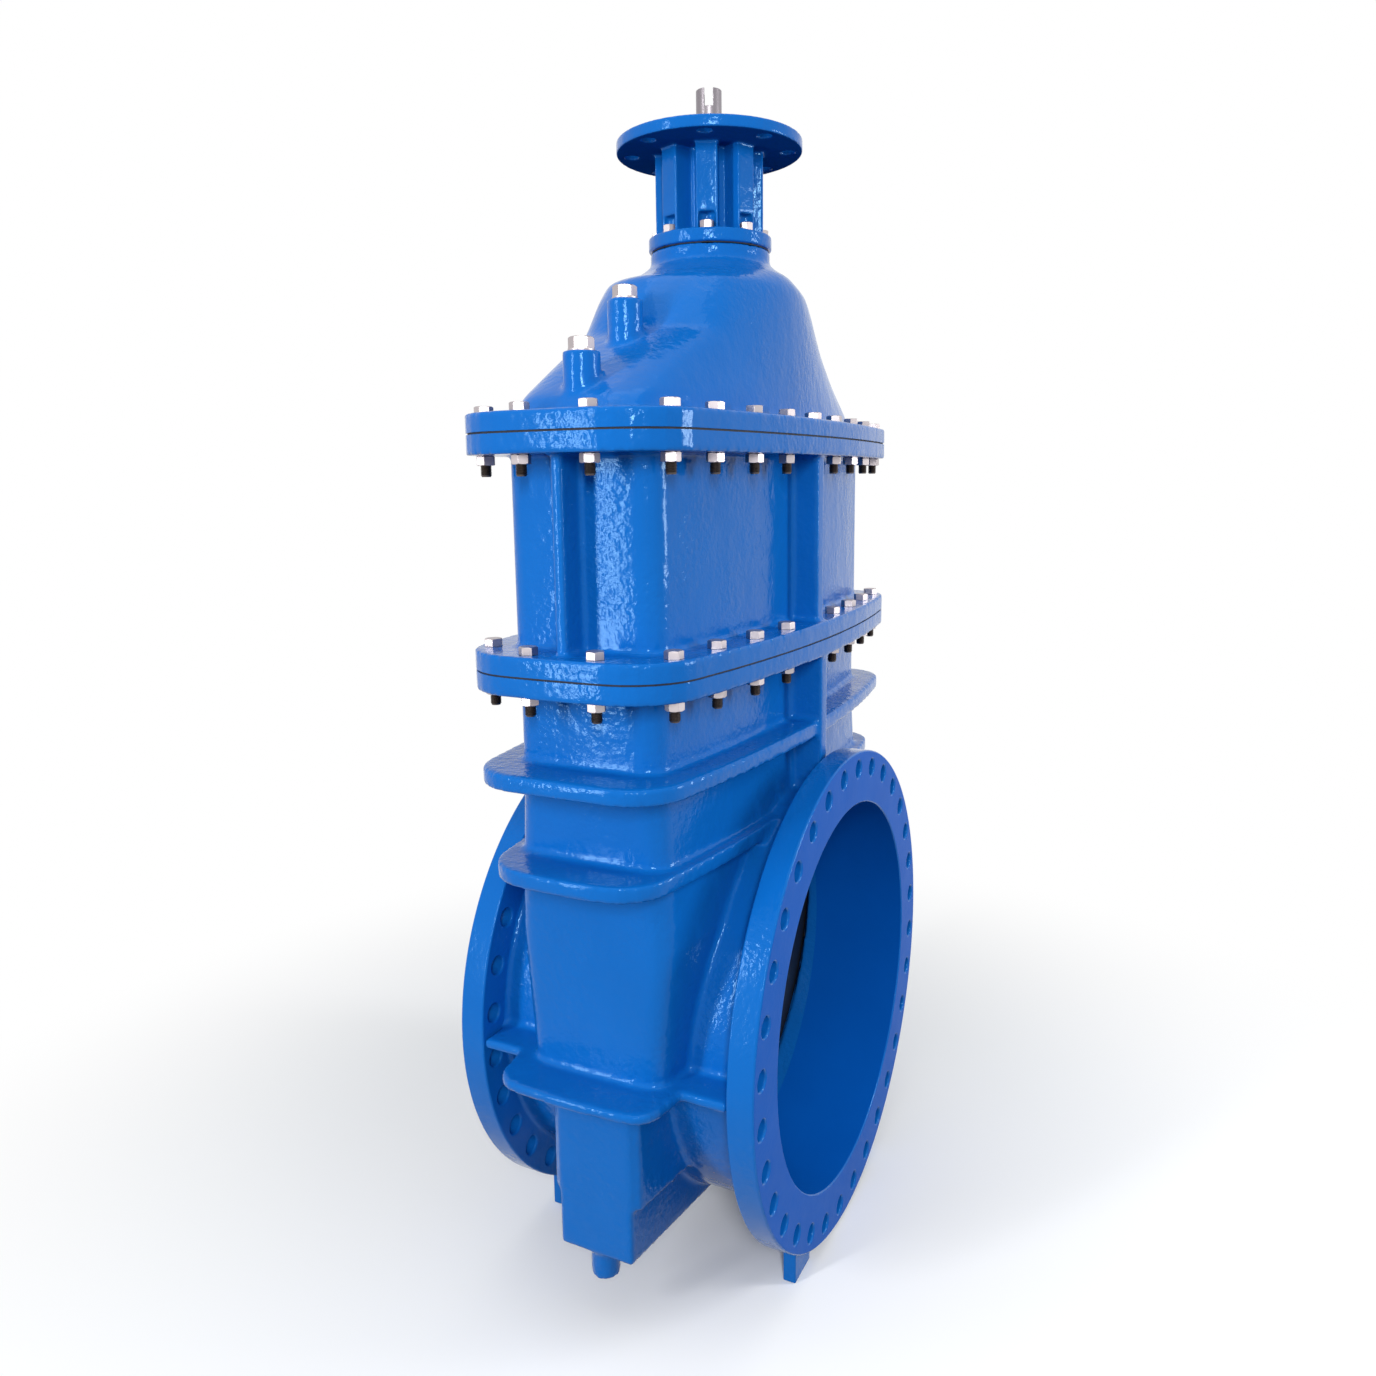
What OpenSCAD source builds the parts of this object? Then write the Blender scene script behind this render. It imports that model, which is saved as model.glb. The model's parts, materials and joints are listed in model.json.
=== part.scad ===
// Large resilient-seat gate valve with a non-rising stem and an actuator pedestal.
// Millimetres, +Z up, pipe along X, origin on the floor under the middle of the valve.

/* [Pipe and end flanges] */
// Diameter of the pipe bore
bore_d = 914.4; // [900:0.1:930]
// Thickness of the end flanges
flange_t = 60.3; // [50:0.1:70]
// Distance between the two flange faces
face_to_face = 711.2; // [700:0.1:730]
// Distance of the bolt circle from the outside of the neck
bolt_circle_in = 45.725; // [44:0.005:50]
// Distance of the flange's rim from the bolt circle
bolt_circle_out = 41.275; // [38:0.005:46]
// Number of bolt holes in an end flange
flange_holes = 32; // [28:4:36]
// Diameter of the bolt holes in the inlet flange
flange_hole_d = 41.3; // [36:0.1:42]
// How much wider the bolt holes in the outlet flange are drilled
outlet_hole_extra = 0.5; // [0.5:0.1:1]
// Wall of the round necks
neck_wall = 40; // [34:1:44]
// Height of the flanges' rims above the floor
rim_h = 9.8; // [8:0.2:15]
// Thickness of a foot plate
foot_t = 31; // [24:1:36]
// Distance of a foot's outer side from the middle
foot_out = 288; // [270:1:300]
// Width of a foot plate along the flange
foot_w = 94; // [80:1:100]

/* [Gate chamber] */
// Room between the gate and the middle of the chamber's end wall
side_room = 135.8; // [130:0.1:140]
// Half width of the upper chamber at its middle
neck_w = 206; // [203:1:209]
// Half width of the chamber at its widest, beside the pipe
waist_w = 223; // [219:1:227]
// Half width of the chamber level with the pipe axis
axis_w = 200; // [196:1:204]
// Half width of the chamber below the lowest rib
low_w = 150; // [146:1:154]
// Half width of the sump box at the bottom
sump_w = 89; // [86:1:92]
// Wall of the castings
wall = 22; // [18:1:24]
// Depth of the sump box's ends below the pipe axis
sump_end = 400; // [390:1:410]
// Depth of the sump's middle below the pipe axis
sump_mid = 495; // [493:1:500]
// Radius of the two bosses under the sump's ends
boss_r = 31; // [26:1:34]

/* [Ribs round the body] */
// Height of the top rib above the pipe axis
rib_a_z = 630; // [622:1:640]
// Height of the middle rib above the pipe axis
rib_b_z = 437; // [430:1:445]
// Thickness of the top and middle ribs
rib_t = 35; // [30:1:38]
// Thickness of the lowest rib, on the pipe's middle
rib_c_t = 21; // [16:1:26]
// Thickness of the upright webs on the long sides
web_t = 40; // [30:1:46]
// Thickness of the upright webs on the bonnet's ends
end_web_t = 23; // [18:1:28]

/* [Joint flanges] */
// How far the joint flanges stand out beyond the chamber's ends
joint_end = 103; // [99:1:107]
// How far the joint flanges stand out beyond the chamber's sides
joint_side = 86; // [83:1:89]
// Thickness of a joint flange
joint_t = 37; // [33:1:40]
// Height of the lower joint above the pipe axis
joint_z = 857; // [850:1:864]
// Thickness of the joint gaskets
gasket_t = 6; // [4:0.5:8]
// Distance of the bolts from the flange's edge
bolt_inset = 38; // [36:1:40]
// Diameter of the holes for the joint bolts
joint_hole_d = 25.4; // [24:0.1:27]

/* [Bonnet] */
// Height of the middle bonnet with its flanges
bonnet_h = 452; // [440:1:464]
// Half width of the middle bonnet's walls
bonnet_w = 211; // [208:1:214]
// Height of the domed bonnet's shoulder above its joint face
shoulder_h = 328; // [320:1:336]
// Radius of the domed bonnet's neck
collar_r = 137; // [132:1:140]
// Height of the domed bonnet above its joint face
dome_h = 418; // [412:1:424]

/* [Pedestal and drive] */
// Height of the pedestal with its flanges
pedestal_h = 238; // [230:1:246]
// Distance of the top flange's rim from its bolt circle
top_flange_out = 32.9; // [28:0.1:37]
// Thickness of the pedestal's top flange
top_flange_t = 25.5; // [22:0.5:30]
// Bolt circle of the top flange
top_flange_pcd = 356; // [350:1:362]
// Number of bolt holes in the top flange
top_flange_holes = 8; // [4:4:8]
// Outer radius of the pedestal's columns
column_r = 122; // [118:1:125]
// Width of a column
column_w = 48; // [46:1:54]
// Bolt circle of the pedestal's base, as a radius
base_bolt_r = 120; // [117:1:122]
// Diameter of the holes for the base bolts
base_hole_d = 22; // [21:0.5:23]
// Radius of the drive sleeve on the stem
drive_r = 29; // [27:0.5:31]
// Height of the drive sleeve above the top flange
drive_out = 111; // [105:1:117]
// Width of the slot in the drive sleeve
drive_slot = 19; // [14:1:20]

/* [Gate and stem] */
// Overlap of the gate beyond the bore, all round
gate_overlap = 10; // [8:1:11]
// Half thickness of the gate at the pipe axis
gate_t = 70; // [66:1:74]
// Slope of the gate's two faces in degrees
gate_slope = 3; // [2:0.5:4]
// Thickness of the rubber on the gate
rubber_t = 8; // [6:1:10]
// Clearance of the gate from everything that stays still
gate_gap = 5; // [5:0.5:6]
// Radius of the stem
stem_r = 34; // [30:1:36]
// Height of the stem nut
nut_h = 80; // [70:1:90]

/* [Hidden] */
$fn = 96;

blue = [0.13, 0.42, 0.78];
bore_r = bore_d / 2;
neck_r = bore_r + neck_wall;
flange_pcd = 2 * (neck_r + bolt_circle_in);
flange_od = flange_pcd + 2 * bolt_circle_out;
axis_h = flange_od / 2 + rim_h;
half_face = face_to_face / 2;
flange_back = half_face - flange_t;
gate_r = bore_r + gate_overlap;
wall_l = gate_r + side_room;
joint_l = wall_l + joint_end;
joint_w = neck_w + joint_side;
top_flange_r = top_flange_pcd / 2 + top_flange_out;

// Heights of the joints above the pipe axis
bonnet_z0 = joint_z + gasket_t;
bonnet_z1 = bonnet_z0 + bonnet_h;
dome_z0 = bonnet_z1 + gasket_t;
dome_z1 = dome_z0 + dome_h;
collar_gap = 2;
pedestal_z0 = dome_z1 + collar_gap;
pedestal_z1 = pedestal_z0 + pedestal_h;

// Shape of the bulging plan outlines
side_arc = 3650;
wall_arc = 4000;
end_arc = 2240;
joint_corner = 142;
wall_corner = 50;
waist_z = 300;
low_z = -275;

// Distance of a foot plate from the back of its flange
foot_in = 3.7;

// Gate and its travel
cavity_r = gate_r + gate_gap;
nut_z = gate_r + 33;
nut_half = 60;
housing_r = 92;
housing_z1 = nut_z + nut_h + 12;
stem_bore_r = stem_r + 8;
gate_travel = bore_r + gate_r + 2;
stem_end_z = nut_z - 6;
stem_bore_end = stem_end_z - gate_travel - gate_gap - 1;
lug_t = 22;
shoe_t = 6;
lug_l = wall_l - wall - 25;
lug_z0 = -140;
lug_z1 = 300;
rail_gap = lug_t + shoe_t + gate_gap;
rail_t = 20;
rail_l = lug_l - 16;
fit_gap = 0.3;

// Thrust collar of the stem, inside the dome's neck
collar_z0 = dome_z1 - 72;
thrust_r = 62;
thrust_t = 14;
ring_t = 8;

// Corner circle of a plan outline, between its side arc and its end arc
function corner_centre(l, w, rs, re, rc) =
    let (a = rs - rc, b = re - rc, dx = rs - w, dy = l - re, d = norm([dx, dy]),
         t = (a * a - b * b + d * d) / (2 * d), h = sqrt(a * a - t * t))
    [w - rs + dx * t / d - dy * h / d, dy * t / d + dx * h / d];

// First quarter of a plan outline: half length l along Y, half width w along X
function quarter(l, w, rs, re, rc) =
    let (c = corner_centre(l, w, rs, re, rc),
         a1 = atan2(c[1], c[0] - w + rs), a2 = atan2(c[1] - l + re, c[0]))
    concat([for (i = [0:5]) [w - rs + rs * cos(a1 * i / 5), rs * sin(a1 * i / 5)]],
           [for (i = [1:6]) let (a = a1 + (a2 - a1) * i / 6)
               [c[0] + rc * cos(a), c[1] + rc * sin(a)]],
           [for (i = [1:3]) let (a = a2 + (90 - a2) * i / 3)
               [re * cos(a), l - re + re * sin(a)]]);

// Whole outline, mirrored from its first quarter
function outline(l, w, rs, re, rc) =
    let (q = quarter(l, w, rs, re, rc), n = len(q) - 1)
    concat(q, [for (i = [n - 1:-1:0]) [-q[i][0], q[i][1]]],
           [for (i = [1:n]) [-q[i][0], -q[i][1]]],
           [for (i = [n - 1:-1:1]) [q[i][0], -q[i][1]]]);

module plan(l, w, rs = wall_arc, re = end_arc, rc = wall_corner)
    polygon(outline(l, w, rs, re, rc));

module slab(z0, z1, l, w, rs = wall_arc, re = end_arc, rc = wall_corner)
    translate([0, 0, z0]) linear_extrude(z1 - z0) plan(l, w, rs, re, rc);

module joint_slab(z0, z1, inset = 0)
    slab(z0, z1, joint_l - inset, joint_w - inset, side_arc - inset, end_arc - inset,
         joint_corner - inset);

// Places of the joint bolts: half of the side, one corner and one end
function joint_bolts() =
    let (x = joint_w - bolt_inset, y = joint_l - bolt_inset, pitch = (y - 60) / 4,
         side = [for (i = [0:3]) [sqrt(pow(side_arc - bolt_inset, 2) - pow(i * pitch, 2))
             - side_arc + joint_w, i * pitch]])
    concat(side, [[x - 48, y - 66], [75, y - 1]]);

module joint_holes(z0, z1)
    for (p = joint_bolts(), mx = [0, 1], my = [0, 1])
        if (!(my == 1 && p[1] == 0))
            mirror([mx, 0, 0]) mirror([0, my, 0])
                translate([p[0], p[1], z0 - 1]) cylinder(d = joint_hole_d, h = z1 - z0 + 2, $fn = 24);

module along_x(x0, x1, r)
    translate([x0, 0, 0]) rotate([0, 90, 0]) cylinder(r = r, h = x1 - x0, $fn = 128);

// Ring of points at a height, for a solid lofted through rings of equal counts
function ring(z, l, w, rs = wall_arc, re = end_arc, rc = wall_corner) =
    [for (p = outline(l, w, rs, re, rc)) [p[0], p[1], z]];

module loft(rings) {
    n = len(rings[0]);
    m = len(rings);
    polyhedron(points = [for (r = rings) each r], faces = concat(
        [[for (i = [0:n - 1]) i]],
        [[for (i = [n - 1:-1:0]) (m - 1) * n + i]],
        [for (j = [0:m - 2], i = [0:n - 1])
            [j * n + i, (j + 1) * n + i, (j + 1) * n + (i + 1) % n]],
        [for (j = [0:m - 2], i = [0:n - 1])
            [j * n + i, (j + 1) * n + (i + 1) % n, j * n + (i + 1) % n]]));
}

// ---- Body casting
module side_profile(end_z, mid_z, l)
    rotate([90, 0, 90]) translate([0, 0, -waist_w])
        linear_extrude(2 * waist_w)
            polygon([[-l, waist_z], [-l, -end_z], [0, -mid_z], [l, -end_z], [l, waist_z]]);

module chamber_outside() {
    loft([ring(-2, wall_l, axis_w), ring(waist_z, wall_l, waist_w),
          ring(rib_a_z + 1, wall_l, neck_w), ring(joint_z - 1, wall_l, neck_w)]);
    slab(low_z, 1, wall_l, low_w, rc = 14);
    intersection() {
        side_profile(sump_end, sump_mid, wall_l + 6);
        translate([-sump_w, -wall_l - 6, -axis_h]) cube([2 * sump_w, 2 * wall_l + 12, axis_h]);
    }
}

module chamber_inside() {
    l = wall_l - wall;
    loft([ring(-1, l, axis_w - wall), ring(waist_z, l, waist_w - wall),
          ring(rib_a_z + 1, l, neck_w - wall), ring(joint_z + 1, l, neck_w - wall)]);
    slab(low_z + wall, 0, l, low_w - wall, rc = 10);
    intersection() {
        along_x(-sump_w + wall, sump_w - wall, cavity_r);
        translate([-sump_w, -cavity_r - 1, -cavity_r - 1])
            cube([2 * sump_w, 2 * cavity_r + 2, cavity_r]);
    }
}

// Wedge of space between the two seats, as wide as the gate plus a clearance
module wedge(grow, z0, z1, l) {
    half0 = gate_t + z0 * tan(gate_slope) + grow;
    half1 = gate_t + z1 * tan(gate_slope) + grow;
    rotate([90, 0, 0]) translate([0, 0, -l]) linear_extrude(2 * l)
        polygon([[-half0, z0], [half0, z0], [half1, z1], [-half1, z1]]);
}

module rib_c() {
    w = axis_w;
    sweep = 52;
    rim = flange_od / 2;
    translate([0, 0, -rib_c_t / 2]) linear_extrude(rib_c_t) difference() {
        union() {
            plan(joint_l, w + 40, rs = wall_arc, re = 1400, rc = 60);
            translate([-flange_back - 1, 2 - rim]) square([2 * flange_back + 2, 2 * rim - 4]);
        }
        for (mx = [0, 1], my = [0, 1]) mirror([mx, 0]) mirror([0, my])
            translate([w + 45, rim + sweep]) circle(r = sweep, $fn = 48);
    }
}

module foot() {
    rim_z = sqrt(pow(flange_od / 2, 2) - pow(foot_out, 2));
    translate([flange_back + foot_in, foot_out - foot_w, -axis_h])
        cube([foot_t, foot_w, axis_h - rim_z + 60]);
}

module bolt_circle(x0, x1, n, pcd, d)
    for (i = [0:n - 1]) rotate([(i + 0.5) * 360 / n, 0, 0]) translate([x0, 0, pcd / 2])
        rotate([0, 90, 0]) cylinder(d = d, h = x1 - x0, $fn = 32);

module webs(z0, z1, w_in, w_out)
    for (sx = [-1, 1]) translate([sx > 0 ? w_in : -w_out, -web_t / 2, z0])
        cube([w_out - w_in, web_t, z1 - z0]);

module rails(z0, z1)
    for (mx = [0, 1], my = [0, 1]) mirror([mx, 0, 0]) mirror([0, my, 0])
        translate([rail_gap, rail_l, z0]) cube([rail_t, wall_l - wall - rail_l + 2, z1 - z0]);

module body_outside() {
    chamber_outside();
    joint_slab(joint_z - joint_t, joint_z);
    slab(rib_a_z, rib_a_z + rib_t, joint_l - 1, joint_w - 15, side_arc, end_arc, 116);
    slab(rib_b_z, rib_b_z + rib_t, joint_l + 4, joint_w - 47, side_arc, 800, 106);
    rib_c();
    along_x(-half_face + 1, half_face - 1, neck_r);
    for (sx = [-1, 1]) along_x(sx > 0 ? flange_back : -half_face,
                               sx > 0 ? half_face : -flange_back, flange_od / 2);
    for (mx = [0, 1], my = [0, 1]) mirror([mx, 0, 0]) mirror([0, my, 0]) foot();
    webs(neck_r - 30, joint_z - joint_t + 1, neck_w - 10, joint_w - 6);
    for (sy = [-1, 1]) translate([0, sy * (wall_l - 33), -sump_end - 68])
        cylinder(r = boss_r, h = 90);
}

module body()
    color(blue) translate([0, 0, axis_h]) {
        difference() {
            body_outside();
            difference() {
                chamber_inside();
                difference() {
                    along_x(-waist_w, waist_w, neck_r);
                    wedge(gate_gap, -neck_r - 10, neck_r + 10, neck_r + 10);
                }
            }
            along_x(-half_face - 1, half_face + 1, bore_r);
            bolt_circle(-half_face - 1, -flange_back + 1, flange_holes, flange_pcd, flange_hole_d);
            bolt_circle(flange_back - 1, half_face + 1, flange_holes, flange_pcd,
                        flange_hole_d + outlet_hole_extra);
            joint_holes(joint_z - joint_t, joint_z);
        }
        rails(lug_z0 - 40, joint_z);
    }

module gasket(z0, hole_w)
    color([0.06, 0.06, 0.07]) translate([0, 0, axis_h]) difference() {
        joint_slab(z0, z0 + gasket_t, 4);
        slab(z0 - 1, z0 + gasket_t + 1, wall_l - wall, hole_w - wall);
        joint_holes(z0, z0 + gasket_t);
    }

module lower_gasket() gasket(joint_z, neck_w);

module upper_gasket() gasket(bonnet_z1, bonnet_w);

// ---- Middle bonnet
module middle_bonnet() {
    z0 = bonnet_z0;
    z1 = bonnet_z1;
    color(blue) translate([0, 0, axis_h]) {
        difference() {
            union() {
                joint_slab(z0, z0 + joint_t);
                joint_slab(z1 - joint_t, z1);
                slab(z0, z1, wall_l, bonnet_w);
                webs(z0 + 1, z1 - 1, bonnet_w - 10, joint_w - 17);
                for (my = [0, 1]) mirror([0, my, 0]) translate([-end_web_t / 2, wall_l - 10, z0 + 1])
                    cube([end_web_t, joint_end - 36 + 10, z1 - z0 - 2]);
            }
            slab(z0 - 1, z1 + 1, wall_l - wall, bonnet_w - wall);
            joint_holes(z0, z0 + joint_t);
            joint_holes(z1 - joint_t, z1);
        }
        rails(z0, z1);
    }
}

// ---- Domed bonnet, lofted through plan outlines: height, half length, half width, arcs, corner
dome_plan = [
    [0, wall_l + 49, bonnet_w + 5, 2400, 2000, 68],
    [65, wall_l, bonnet_w + 3, 2300, 1800, 72],
    [140, wall_l - 118, bonnet_w, 1500, 1150, 92],
    [210, wall_l - 242, bonnet_w - 2, 1000, 640, 125],
    [285, wall_l - 278, bonnet_w - 4, 640, 450, 157],
    [shoulder_h, wall_l - 310, bonnet_w - 8, 460, 360, 165]];

// Round rings from the shoulder to the neck: share of the way to the top, width beyond the neck
dome_neck = [[0.3, 49], [0.467, 21], [0.633, 3]];

// Ring of a dome outline, drawn in by inset
function dome_ring(s, inset, drop = 0) =
    ring(dome_z0 + s[0] - drop, s[1] - inset, s[2] - inset, s[3], s[4], s[5] - inset);

// Round ring whose points lie in the same directions as those of another ring
function round_ring(like, r, z) =
    [for (p = like) let (a = atan2(p[1], p[0])) [r * cos(a), r * sin(a), z]];

module dome_outside() {
    rings = [for (s = dome_plan) dome_ring(s, 0)];
    loft(concat(rings, [for (s = dome_neck)
        round_ring(rings[5], collar_r + s[1], dome_z0 + shoulder_h + s[0] * (dome_h - shoulder_h))]));
    translate([0, 0, dome_z0 + shoulder_h / 2]) cylinder(r = collar_r, h = dome_h - shoulder_h / 2);
}

module dome_inside() {
    rings = [for (i = [0:5]) dome_ring(dome_plan[i], wall, i == 0 ? 1 : wall)];
    loft(concat(rings, [round_ring(rings[5], 100, dome_z0 + shoulder_h - 16)]));
}

vent_lower = [0, 37 - wall_l, 148];
vent_upper = [0, 205 - wall_l, 265];
vent_r = 36;

module vent_boss(p)
    translate([p[0], p[1], dome_z0 + 60]) cylinder(r = vent_r, h = p[2] - 60);

module domed_bonnet()
    color(blue) translate([0, 0, axis_h]) difference() {
        union() {
            joint_slab(dome_z0, dome_z0 + joint_t - 1);
            dome_outside();
            vent_boss(vent_lower);
            vent_boss(vent_upper);
        }
        dome_inside();
        joint_holes(dome_z0, dome_z0 + joint_t);
        for (p = [vent_lower, vent_upper])
            translate([p[0], p[1], dome_z0 + 40]) cylinder(r = 14, h = p[2]);
        translate([0, 0, dome_z0 + 200]) cylinder(r = stem_r + 1, h = dome_h);
        translate([0, 0, collar_z0]) cylinder(r = thrust_r + ring_t, h = dome_h);
        base_bolts() translate([0, 0, dome_z1 - 40]) cylinder(d = base_hole_d - 2, h = 41, $fn = 24);
    }

module vent_plug(p)
    color([0.75, 0.76, 0.78]) translate([p[0], p[1], axis_h + dome_z0 + p[2]]) {
        translate([0, 0, -30]) cylinder(r = 13.7, h = 30);
        cylinder(r = 26, h = 4);
        translate([0, 0, 4]) cylinder(r = 25, h = 22, $fn = 6);
    }

module upper_vent_plug() vent_plug(vent_upper);

module lower_vent_plug() vent_plug(vent_lower);

// ---- Pedestal
module pedestal_gasket()
    color([0.06, 0.06, 0.07]) translate([0, 0, axis_h + dome_z1]) difference() {
        cylinder(r = collar_r - 3, h = collar_gap);
        translate([0, 0, -1]) cylinder(r = thrust_r + ring_t, h = collar_gap + 2);
    }

pedestal_base_t = 30;
hub_r = 80;
pocket_r = 19;
pocket_h = 36;
spot_depth = 1;
pocket_shape = concat([[30, -pocket_r]],
    [for (a = [270:-15:90]) [pocket_r * cos(a), pocket_r * sin(a)]], [[30, pocket_r]]);

// Places of the pedestal's base bolts, one under each column
module base_bolts()
    for (i = [0:7]) rotate([0, 0, (i + 0.5) * 45]) translate([base_bolt_r, 0, 0]) children();

module pedestal()
    color(blue) translate([0, 0, axis_h + pedestal_z0]) difference() {
        union() {
            cylinder(r = collar_r + 4, h = pedestal_base_t);
            cylinder(r = hub_r, h = pedestal_h - 1);
            for (i = [0:7]) rotate([0, 0, (i + 0.5) * 45]) translate([hub_r - 15, -column_w / 2, 1])
                cube([column_r - hub_r + 15, column_w, pedestal_h - 2]);
            translate([0, 0, pedestal_h - top_flange_t])
                cylinder(r = top_flange_r, h = top_flange_t);
        }
        translate([0, 0, -1]) cylinder(r = stem_r + 12, h = pedestal_h + 2);
        base_bolts() {
            translate([0, 0, -1]) cylinder(d = base_hole_d, h = pedestal_base_t + 2, $fn = 24);
            translate([0, 0, pedestal_base_t - spot_depth])
                linear_extrude(pocket_h + spot_depth) polygon(pocket_shape);
        }
        for (i = [0:top_flange_holes - 1]) rotate([0, 0, (i + 0.5) * 360 / top_flange_holes])
            translate([top_flange_pcd / 2, 0, pedestal_h - top_flange_t - 1])
                cylinder(d = 33, h = top_flange_t + 2, $fn = 32);
    }

// ---- Gate
module gate_lens(r, grow)
    intersection() {
        along_x(-200, 200, r);
        wedge(grow, -r - 5, r + 5, r + 5);
    }

module housing()
    translate([0, 0, gate_r - 40]) cylinder(r = housing_r, h = housing_z1 - gate_r + 40);

module lugs(l, t, z0, z1)
    for (my = [0, 1]) mirror([0, my, 0])
        translate([-t, gate_r - 80, z0]) cube([2 * t, l - gate_r + 80, z1 - z0]);

module nut_space() {
    translate([-housing_r - 20, -nut_half - 1, nut_z - fit_gap])
        cube([2 * housing_r + 40, 2 * nut_half + 2, nut_h + 2 * fit_gap]);
    translate([0, 0, stem_bore_end]) cylinder(r = stem_bore_r, h = housing_z1 - stem_bore_end + 1);
}

module gate_core()
    color([0.25, 0.26, 0.28]) translate([0, 0, axis_h]) difference() {
        union() {
            gate_lens(gate_r - rubber_t, -rubber_t);
            housing();
            lugs(lug_l, lug_t, lug_z0, lug_z1);
        }
        nut_space();
    }

module gate_rubber()
    color([0.05, 0.05, 0.06]) translate([0, 0, axis_h]) difference() {
        gate_lens(gate_r, 0);
        gate_lens(gate_r - rubber_t, -rubber_t);
        housing();
        lugs(lug_l, lug_t, lug_z0, lug_z1);
        nut_space();
    }

module guide_shoe(my)
    color([0.9, 0.88, 0.8]) translate([0, 0, axis_h]) mirror([0, my, 0]) difference() {
        translate([-lug_t - shoe_t, gate_r + 8, lug_z0 - shoe_t])
            cube([2 * (lug_t + shoe_t), lug_l - gate_r - 8 + shoe_t, lug_z1 - lug_z0 + 2 * shoe_t]);
        translate([-lug_t, 0, lug_z0]) cube([2 * lug_t, lug_l, lug_z1 - lug_z0]);
    }

module guide_shoe_near() guide_shoe(1);

module guide_shoe_far() guide_shoe(0);

module stem_nut()
    color([0.72, 0.55, 0.25]) translate([0, 0, axis_h + nut_z]) difference() {
        translate([-nut_half, -nut_half, 0]) cube([2 * nut_half, 2 * nut_half, nut_h]);
        translate([0, 0, -1]) cylinder(r = stem_r + fit_gap, h = nut_h + 2);
    }

// ---- Stem, its bearings and its seals
sleeve_in = 50;
tail_r = 20;
slot_depth = 38;

module stem()
    color([0.78, 0.79, 0.8]) translate([0, 0, axis_h]) {
        translate([0, 0, stem_end_z])
            cylinder(r = stem_r, h = pedestal_z1 - sleeve_in - fit_gap - stem_end_z);
        translate([0, 0, pedestal_z1 - sleeve_in - 1])
            cylinder(r = tail_r, h = sleeve_in + 1 + drive_out - slot_depth - 2);
        translate([0, 0, collar_z0 + ring_t + fit_gap]) cylinder(r = thrust_r, h = thrust_t);
    }

module thrust_ring(z)
    color([0.72, 0.55, 0.25]) translate([0, 0, axis_h + z]) difference() {
        cylinder(r = thrust_r + ring_t, h = ring_t);
        translate([0, 0, -1]) cylinder(r = stem_r + 0.5, h = ring_t + 2);
    }

module lower_thrust_ring() thrust_ring(collar_z0);

module upper_thrust_ring() thrust_ring(collar_z0 + ring_t + thrust_t + 2 * fit_gap);

bushing_z0 = collar_z0 + 2 * ring_t + thrust_t + 2 * fit_gap;
bushing_h = dome_z1 - bushing_z0;
groove_h = 8;

module stem_bushing()
    color([0.72, 0.55, 0.25]) translate([0, 0, axis_h + bushing_z0]) difference() {
        cylinder(r = thrust_r + ring_t, h = bushing_h);
        translate([0, 0, -1]) cylinder(r = stem_r + 0.05, h = bushing_h + 2);
        for (z = [6, bushing_h - groove_h - 6])
            translate([0, 0, z]) cylinder(r = stem_r + 7, h = groove_h);
    }

module stem_seal(z)
    color([0.05, 0.05, 0.06]) translate([0, 0, axis_h + bushing_z0 + z]) difference() {
        cylinder(r = stem_r + 7, h = groove_h);
        translate([0, 0, -1]) cylinder(r = stem_r + fit_gap, h = groove_h + 2);
    }

module lower_stem_seal() stem_seal(6);

module upper_stem_seal() stem_seal(bushing_h - groove_h - 6);

module drive_sleeve()
    color([0.72, 0.71, 0.72]) translate([0, 0, axis_h + pedestal_z1]) difference() {
        union() {
            cylinder(r = drive_r, h = drive_out);
            translate([0, 0, -sleeve_in]) cylinder(r = drive_r - 2, h = sleeve_in + 1);
        }
        translate([0, 0, -sleeve_in - 1]) cylinder(r = tail_r + 0.02, h = drive_out + sleeve_in + 2);
        rotate([0, 0, 25]) translate([-drive_slot / 2, -drive_r - 1, drive_out - slot_depth])
            cube([drive_slot, 2 * drive_r + 2, slot_depth + 1]);
    }

body();
lower_gasket();
middle_bonnet();
upper_gasket();
domed_bonnet();
pedestal_gasket();
pedestal();
upper_vent_plug();
lower_vent_plug();
gate_core();
gate_rubber();
guide_shoe_near();
guide_shoe_far();
stem_nut();
stem();
lower_thrust_ring();
upper_thrust_ring();
stem_bushing();
lower_stem_seal();
upper_stem_seal();
drive_sleeve();
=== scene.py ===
import bmesh
import bpy
import json
import math
import random
from mathutils import Matrix, Vector


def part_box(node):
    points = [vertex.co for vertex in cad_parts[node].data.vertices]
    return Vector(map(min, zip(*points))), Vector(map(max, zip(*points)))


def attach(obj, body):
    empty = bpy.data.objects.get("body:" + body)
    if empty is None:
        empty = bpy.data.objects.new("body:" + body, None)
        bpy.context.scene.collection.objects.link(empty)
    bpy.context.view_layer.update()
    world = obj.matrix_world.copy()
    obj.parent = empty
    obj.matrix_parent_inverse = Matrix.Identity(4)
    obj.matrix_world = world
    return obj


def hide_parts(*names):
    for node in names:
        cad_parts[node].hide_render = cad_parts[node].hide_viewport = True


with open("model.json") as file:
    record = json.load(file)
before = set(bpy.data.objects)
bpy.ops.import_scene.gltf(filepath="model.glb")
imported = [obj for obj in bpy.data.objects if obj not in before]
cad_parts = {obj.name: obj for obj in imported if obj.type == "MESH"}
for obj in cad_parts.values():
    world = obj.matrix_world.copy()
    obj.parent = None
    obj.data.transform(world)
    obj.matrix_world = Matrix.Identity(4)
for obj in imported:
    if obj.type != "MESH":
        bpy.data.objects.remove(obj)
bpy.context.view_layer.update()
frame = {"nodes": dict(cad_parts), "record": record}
nodes = frame["nodes"]
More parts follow.
